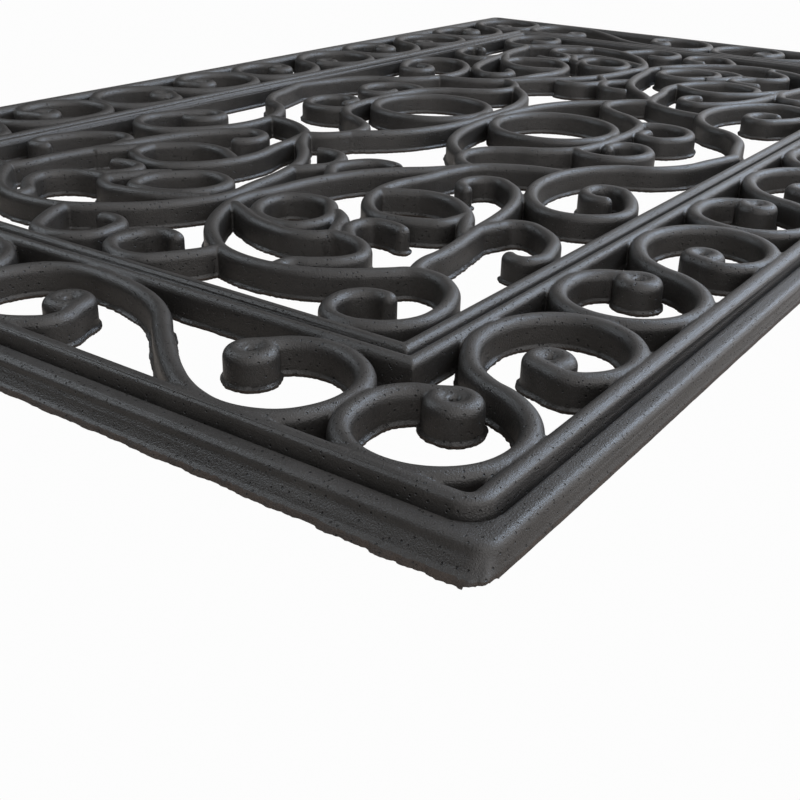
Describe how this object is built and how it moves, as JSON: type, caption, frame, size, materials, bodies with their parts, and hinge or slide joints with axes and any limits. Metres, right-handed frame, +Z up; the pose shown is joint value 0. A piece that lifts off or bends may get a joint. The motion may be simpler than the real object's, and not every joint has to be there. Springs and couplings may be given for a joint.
{
  "type": "doormat",
  "caption": "Rectangular openwork rubber doormat with a raised bead, a border of S-scrolls, a ridged inner frame and a field of curled strands.",
  "frame": {"origin": "centre of the underside, on the floor", "axes": "+Z up, +X along the long side, +Y along the short side"},
  "size_m": [0.771, 0.4592, 0.0121],
  "materials": {
    "rubber": "moulded black rubber, matt with a faint sheen on the crests"
  },
  "bodies": {
    "root": {"arch_back_left": "rubber", "arch_back_right": "rubber", "arch_front_left": "rubber", "arch_front_right": "rubber", "border_back": "rubber", "border_front": "rubber", "border_left": "rubber", "border_right": "rubber", "centre_link_left": "rubber", "centre_link_right": "rubber", "corner_hook_back_left": "rubber", "corner_hook_back_right": "rubber", "corner_hook_front_left": "rubber", "corner_hook_front_right": "rubber", "end_ring_back_left": "rubber", "end_ring_back_right": "rubber", "end_ring_front_left": "rubber", "end_ring_front_right": "rubber", "frame_back": "rubber", "frame_front": "rubber", "frame_left": "rubber", "frame_right": "rubber", "inner_arch_back_left": "rubber", "inner_arch_back_right": "rubber", "inner_arch_front_left": "rubber", "inner_arch_front_right": "rubber", "leaf_back_left": "rubber", "leaf_back_right": "rubber", "leaf_front_left": "rubber", "leaf_front_right": "rubber", "long_scroll_1_back_left": "rubber", "long_scroll_1_back_right": "rubber", "long_scroll_1_front_left": "rubber", "long_scroll_1_front_right": "rubber", "long_scroll_2_back_left": "rubber", "long_scroll_2_back_right": "rubber", "long_scroll_2_front_left": "rubber", "long_scroll_2_front_right": "rubber", "long_scroll_3_back_left": "rubber", "long_scroll_3_back_right": "rubber", "long_scroll_3_front_left": "rubber", "long_scroll_3_front_right": "rubber", "mid_motif_back": "rubber", "mid_motif_front": "rubber", "ring_back_left": "rubber", "ring_back_right": "rubber", "ring_front_left": "rubber", "ring_front_right": "rubber", "short_scroll_back_left": "rubber", "short_scroll_back_right": "rubber", "short_scroll_front_left": "rubber", "short_scroll_front_right": "rubber", "side_spiral_back_left": "rubber", "side_spiral_back_right": "rubber", "side_spiral_front_left": "rubber", "side_spiral_front_right": "rubber", "stem_back_left": "rubber", "stem_back_right": "rubber", "stem_front_left": "rubber", "stem_front_right": "rubber"}
  },
  "joints": []
}
